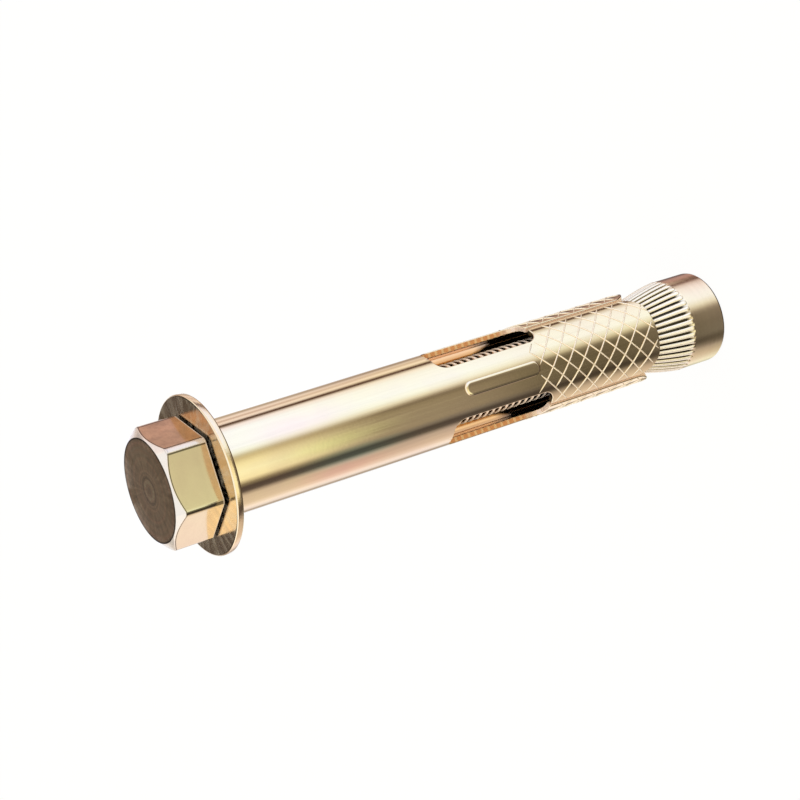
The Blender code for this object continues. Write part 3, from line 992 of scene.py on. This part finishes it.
def bolt_rows():
    """Profiles of the head, its bearing boss and the shank, one for each angle round the hexagon."""
    rows = []
    for angle in hex_angles():
        reach = hex_radius(angle)
        shoulder = HEX_TOP - (reach - HEX_FACE_RADIUS) * math.tan(HEX_CHAMFER_ANGLE)
        corners = [
            (0.0, HEX_TOP, 0.0),
            (HEX_FACE_RADIUS * 0.5, HEX_TOP, 0.0),
            (HEX_FACE_RADIUS, HEX_TOP, HEX_FACE_EDGE),
            (reach, shoulder, HEX_EDGE),
            (reach, HEX_BOTTOM, HEX_FOOT_EDGE),
            (BOSS_RADIUS, HEX_BOTTOM, 0.0),
            (BOSS_RADIUS, BOSS_BOTTOM, 0.0),
            (THREAD_ROOT, BOSS_BOTTOM, 0.0),
            (THREAD_ROOT, BOLT_LOW.z + THREAD_START, 0.0),
            (THREAD_ROOT, BOLT_LOW.z, 0.0),
            (0.0, BOLT_LOW.z, 0.0),
        ]
        rows.append(spun(rounded(corners, False), angle))
    return rows


def thread_mesh(sweep, material):
    """The thread, swept along its helix on the shank."""
    turns = int((BOSS_BOTTOM - BOLT_LOW.z - 2 * THREAD_START) / THREAD_PITCH)
    path = []
    for i in range(turns * THREAD_SEGMENTS + 1):
        angle = FULL_TURN * i / THREAD_SEGMENTS
        z = BOLT_LOW.z + THREAD_START + THREAD_PITCH * i / THREAD_SEGMENTS
        path.append(((THREAD_ROOT * math.cos(angle), THREAD_ROOT * math.sin(angle), z), 1.0))
    rise = THREAD_CREST - THREAD_ROOT
    foot = (THREAD_PITCH - THREAD_ROOT_FLAT) / 2
    crest = THREAD_CREST_FLAT / 2
    half = [(-THREAD_SUNK, -foot), (0.0, -foot), (rise, -crest)]
    section = half + [(x, -y) for x, y in reversed(half)]
    return swept("thread", [path], section, sweep, material)


def make_bolt(sweep):
    material = plating(
        "bolt_finish", linear(234, 211, 165), linear(230, 203, 161), 0.11, "round",
        [bolt_film_and_reflections, bolt_rings, bolt_dark_reflections, bolt_recess_shade], bolt_highlights,
    )
    bm = bmesh.new()
    revolve(bm, bolt_rows(), False)
    add_mesh(bm, thread_mesh(sweep, material))
    piece = new_piece("bolt_dressed", bm, material, "bolt", "hex_bolt")
    weigh_normals(piece)


def make_washer():
    material = plating(
        "washer_finish", linear(235, 208, 160), linear(230, 200, 156), 0.11, "radial",
        [washer_rays], rubbed_rays,
    )
    corners = [
        (WASHER_HOLE, WASHER_HIGH.z, WASHER_EDGE / 2),
        (WASHER_RADIUS, WASHER_HIGH.z, WASHER_EDGE),
        (WASHER_RADIUS, WASHER_LOW.z, WASHER_EDGE),
        (WASHER_HOLE, WASHER_LOW.z, WASHER_EDGE / 2),
    ]
    bm = turned(corners)
    piece = new_piece("washer_dressed", bm, material, "washer", "washer")
    weigh_normals(piece)


def cone_radius(z):
    """Radius of the nut's cone, which curves into its collar."""
    share = max(0.0, (z - COLLAR_LENGTH) / (CONE_TOP - COLLAR_LENGTH))
    return COLLAR_RADIUS - (COLLAR_RADIUS - PILOT_RADIUS) * share ** CONE_CURVE


def valley_radius(z):
    """Radius of the ground between the ribs, which comes up to the collar at their tips."""
    share = min(1.0, max(0.0, (z - RIB_START) / VALLEY_RUN))
    return cone_radius(z) - RIB_DEPTH * share * share * (3 - 2 * share)


def rib():
    """One rib along the cone at angle 0, half round in section, with a rounded tip on the collar."""
    bm = bmesh.new()
    rows = []
    high = CONE_TOP + RIB_END
    for i in range(RIB_STEPS + 1):
        z = RIB_START + (high - RIB_START) * (i / RIB_STEPS) ** 2
        ground = valley_radius(z)
        rise = cone_radius(z) + RIB_PROUD - ground
        half = math.pi * cone_radius(z) / RIBS * RIB_SHARE
        fall = min(1.0, (z - RIB_START) / RIB_END)
        tip = math.sqrt(max(RIB_TIP, 1 - (1 - fall) ** 2))
        row = []
        for j in range(RIB_SECTION_STEPS + 1):
            angle = math.pi * (j / RIB_SECTION_STEPS - 0.5)
            out = ground + rise * tip * math.cos(angle) ** RIB_FULLNESS
            row.append(bm.verts.new((out, half * tip * math.sin(angle), z)))
        for side in (1, -1):
            row.append(bm.verts.new((ground - RIB_DEPTH / 2, side * half * tip, z)))
        rows.append(row)
    skin(bm, rows, True)
    bm.faces.new(rows[0])
    bm.faces.new(reversed(rows[-1]))
    return added("rib", mesh_of("rib", bm))


def make_nut(ring):
    material = plating(
        "nut_finish", linear(238, 216, 172), linear(234, 208, 168), 0.13, "round",
        [rib_valley_shade], rib_crest_highlights,
    )
    corners = [(PILOT_RADIUS, NUT_HIGH.z, 0.2 * MM), (PILOT_RADIUS, CONE_TOP, 0.0)]
    for i in range(CONE_STEPS + 1):
        z = CONE_TOP + (COLLAR_LENGTH - CONE_TOP) * i / CONE_STEPS
        corners.append((valley_radius(z), z, 0.0))
    corners += [
        (COLLAR_RADIUS, 0.0, COLLAR_EDGE),
        (BORE_RADIUS + BORE_CHAMFER, 0.0, 0.08 * MM),
        (BORE_RADIUS, BORE_CHAMFER, 0.0),
        (BORE_RADIUS, NUT_HIGH.z, 0.1 * MM),
    ]
    bm = turned(corners)
    add_mesh(bm, grown(rib(), ring, {"Count": RIBS, "Material": material}))
    piece = new_piece("nut_dressed", bm, material, "nut", "cone_nut")
    weigh_normals(piece)


# Studio

FLOOR_REACH = 4.0
FLOOR_COLOUR = (0.85, 0.72, 0.45, 1.0)
FLOOR_GLOW = 1.02
FLOOR_GLOW_SHARE = 0.92


def make_floor():
    """White floor with a trace of the object's shadow; metal mirrors the studio instead of it."""
    bm = bmesh.new()
    bmesh.ops.create_grid(bm, x_segments=1, y_segments=1, size=FLOOR_REACH)
    mesh = mesh_of("studio_floor", bm)
    material = bpy.data.materials.new("floor_white")
    material.use_nodes = True
    nodes = Nodes(material.node_tree)
    nodes.tree.nodes.clear()
    matt = nodes.node("ShaderNodeBsdfDiffuse", 0, {"Color": FLOOR_COLOUR})
    glow = nodes.node("ShaderNodeEmission", 0, {"Strength": FLOOR_GLOW})
    blend = nodes.node("ShaderNodeMixShader", 0, {0: FLOOR_GLOW_SHARE, 1: matt, 2: glow})
    nodes.link(blend, nodes.tree.nodes.new("ShaderNodeOutputMaterial").inputs["Surface"])
    mesh.materials.append(material)
    floor = added("studio_floor", mesh)
    floor.visible_glossy = False


def light_band(shade, value, stops):
    """A colour ramp over an angle, from stops of (degrees, red, green, blue), colours in hundredths."""
    node = shade.tree.nodes.new("ShaderNodeValToRGB")
    shade.link(shade.ramp(value, -180.0, 180.0), node.inputs[0])
    ramp = node.color_ramp
    while len(ramp.elements) < len(stops):
        ramp.elements.new(0.5)
    for element, (degrees, *colour) in zip(ramp.elements, stops):
        element.position = (degrees + 180) / 360
        element.color = (*(part / 100 for part in colour), 1.0)
    return node.outputs["Color"]


SOFT_BOX = (120, 149, 234)
BACK_EDGE = (120, 130, 155)
CARD_LINE = (12, 7, 6)

# Seen in faces that look level or up: the table near the camera is bright
BANDS_NEAR = [
    (-172, *BACK_EDGE), (-160, 88, 92, 102), (-149, 42, 35, 30), (-136, 106, 106, 128),
    (-126, 120, 118, 142), (-117, 106, 101, 112), (-110, 92, 85, 88), (-83, 78, 72, 74), (-77, 52, 47, 49),
    (-70, 13, 11, 12), (-60, 10, 8, 9), (-52, 30, 27, 22), (-46, 76, 73, 60), (-40, 124, 128, 108),
    (-22, 126, 138, 124), (-4, 116, 120, 98), (8, 80, 77, 60), (14, 76, 79, 72), (24, 116, 142, 190),
    (34, *SOFT_BOX), (80, *SOFT_BOX), (93, 114, 120, 178), (98, 62, 58, 74), (101, *CARD_LINE),
    (106, *CARD_LINE), (110, 105, 102, 128), (116, 112, 107, 130), (122, 66, 54, 60), (131, 112, 106, 125),
    (145, 52, 43, 38), (153, 64, 58, 56), (163, *BACK_EDGE),
]
# Seen from the sleeve's slotted half
BANDS_FAR = [
    (-176, *BACK_EDGE), (-161, 62, 58, 56), (-150, 40, 34, 30), (-136, 112, 112, 135),
    (-126, 116, 113, 137), (-116, 96, 88, 100), (-104, 83, 73, 80), (-82, 62, 56, 64), (-77, 42, 39, 44),
    (-70, 12, 11, 12), (-60, 9, 8, 9), (-52, 27, 26, 28), (-44, 36, 33, 31), (-12, 37, 34, 31),
    (2, 33, 30, 26), (9, 22, 19, 17), (14, 46, 43, 42), (21, 100, 108, 120), (30, 118, 143, 190),
    (44, 121, 150, 224), (80, 119, 142, 196), (92, 115, 122, 152), (98, 66, 62, 68), (101, *CARD_LINE),
    (106, *CARD_LINE), (110, 74, 68, 66), (116, 122, 118, 126), (127, 78, 68, 66), (134, 90, 82, 85),
    (148, 38, 30, 26), (158, 62, 55, 51), (171, *BACK_EDGE),
]
# Seen from the diamond ridges' ground
BANDS_KNURL = [
    (-176, 60, 56, 56), (-160, 36, 31, 28), (-150, 38, 33, 30), (-139, 135, 135, 150),
    (-126, 106, 100, 106), (-106, 92, 84, 84), (-88, 66, 60, 60), (-78, 42, 38, 38), (-69, 10, 9, 8),
    (-60, 6, 5, 5), (-50, 12, 11, 9), (-20, 14, 13, 10), (4, 16, 15, 12), (11, 30, 29, 26),
    (18, 70, 72, 66), (26, 100, 112, 120), (42, 120, 146, 198), (84, 119, 140, 190), (98, 80, 78, 82),
    (101, *CARD_LINE), (106, *CARD_LINE), (110, 100, 92, 92), (116, 115, 105, 105), (121, 80, 66, 64),
    (132, 58, 43, 42), (143, 36, 25, 25), (152, 18, 13, 13), (176, 60, 55, 56),
]
# Seen from the cone nut's collar
BANDS_FOOT = [
    (-172, 62, 62, 50), (-156, 84, 86, 72), (-144, 104, 108, 96), (-130, 93, 94, 90), (-108, 68, 64, 60),
    (-90, 46, 44, 44), (-84, 26, 25, 25), (-78, 17, 16, 15), (-64, 13, 12, 11), (-50, 22, 21, 21),
    (-20, 22, 20, 20), (4, 29, 27, 27), (13, 37, 35, 36), (20, 66, 66, 68), (28, 102, 112, 122),
    (44, 119, 140, 190), (62, 118, 134, 188), (80, 112, 115, 152), (97, 84, 76, 95), (104, 42, 31, 34),
    (110, 13, 6, 6), (119, 15, 7, 7), (130, 52, 32, 34), (142, 54, 36, 38), (154, 22, 16, 17),
    (172, 16, 12, 11),
]
# Above the horizon: a dark card behind, the room in front
HIGH_BOX = (122, 140, 180)
BANDS_ABOVE = [
    (-143, 15, 13, 13), (-134, 175, 180, 205), (-80, 175, 180, 205), (-50, 135, 120, 115),
    (50, 135, 120, 115), (80, 105, 98, 110), (134, 105, 98, 110), (143, 15, 13, 13),
]
BANDS_HIGH = [
    (-143, 2, 2, 2), (-134, *HIGH_BOX), (134, *HIGH_BOX), (143, 2, 2, 2),
]
OVERHEAD = (1.22, 1.40, 1.80, 1.0)
OVERHEAD_STARTS = (46.0, 54.0)
UNDERNEATH = (0.09, 0.07, 0.06, 1.0)
UNDERNEATH_STARTS = (-48.0, -56.0)

# Each kind of band takes over from the one before between two elevations, in degrees
BANDS_UPWARDS = [
    (-37.2, -36.4, BANDS_KNURL), (-33.6, -31.6, BANDS_FAR), (-28.4, -25.4, BANDS_NEAR),
    (12.0, 17.0, BANDS_ABOVE), (25.0, 29.0, BANDS_HIGH),
]


def make_studio_light():
    """Soft boxes and dark cards as bands of the world, and plain white for the camera itself."""
    world = bpy.data.worlds.new("studio")
    bpy.context.scene.world = world
    world.use_nodes = True
    shade = Nodes(world.node_tree)
    x, y, z = shade.parts(shade.node("ShaderNodeTexCoord", "Generated"))
    azimuth = shade.times(shade.math("ARCTAN2", x, shade.times(y, -1.0)), math.degrees(1))
    elevation = shade.times(shade.math("ARCSINE", z), math.degrees(1))
    bands = light_band(shade, azimuth, BANDS_FOOT)
    for low, high, stops in BANDS_UPWARDS:
        bands = shade.mix(shade.ramp(elevation, low, high), bands, light_band(shade, azimuth, stops))
    lit_above = shade.mix(shade.ramp(elevation, *OVERHEAD_STARTS), bands, OVERHEAD)
    room = shade.mix(shade.ramp(elevation, *UNDERNEATH_STARTS), lit_above, UNDERNEATH)
    seen = shade.node("ShaderNodeLightPath", "Is Camera Ray")
    background = shade.tree.nodes["Background"].inputs
    shade.link(shade.mix(seen, room, (1.0, 1.0, 1.0, 1.0)), background["Color"])
    background["Strength"].default_value = 1.0


def make_camera():
    data = bpy.data.cameras.new("photo_camera")
    data.lens = CAMERA_LENS
    data.clip_start = 0.01
    data.clip_end = 20.0
    camera = added("photo_camera", data)
    back = Vector((0.0, -math.cos(CAMERA_ELEVATION), math.sin(CAMERA_ELEVATION)))
    turn = (-back).to_track_quat("-Z", "Y").to_matrix().to_4x4()
    roll = Matrix.Rotation(-CAMERA_ROLL, 4, "Z")
    camera.matrix_world = Matrix.Translation(CAMERA_AIM + back * CAMERA_DISTANCE) @ turn @ roll
    bpy.context.scene.camera = camera


def main():
    sweep = sweep_group()
    ring = ring_group()
    make_bolt(sweep)
    make_washer()
    make_sleeve(sweep)
    make_nut(ring)
    make_floor()
    make_studio_light()
    make_camera()
    bpy.context.scene.view_settings.view_transform = "Standard"


main()
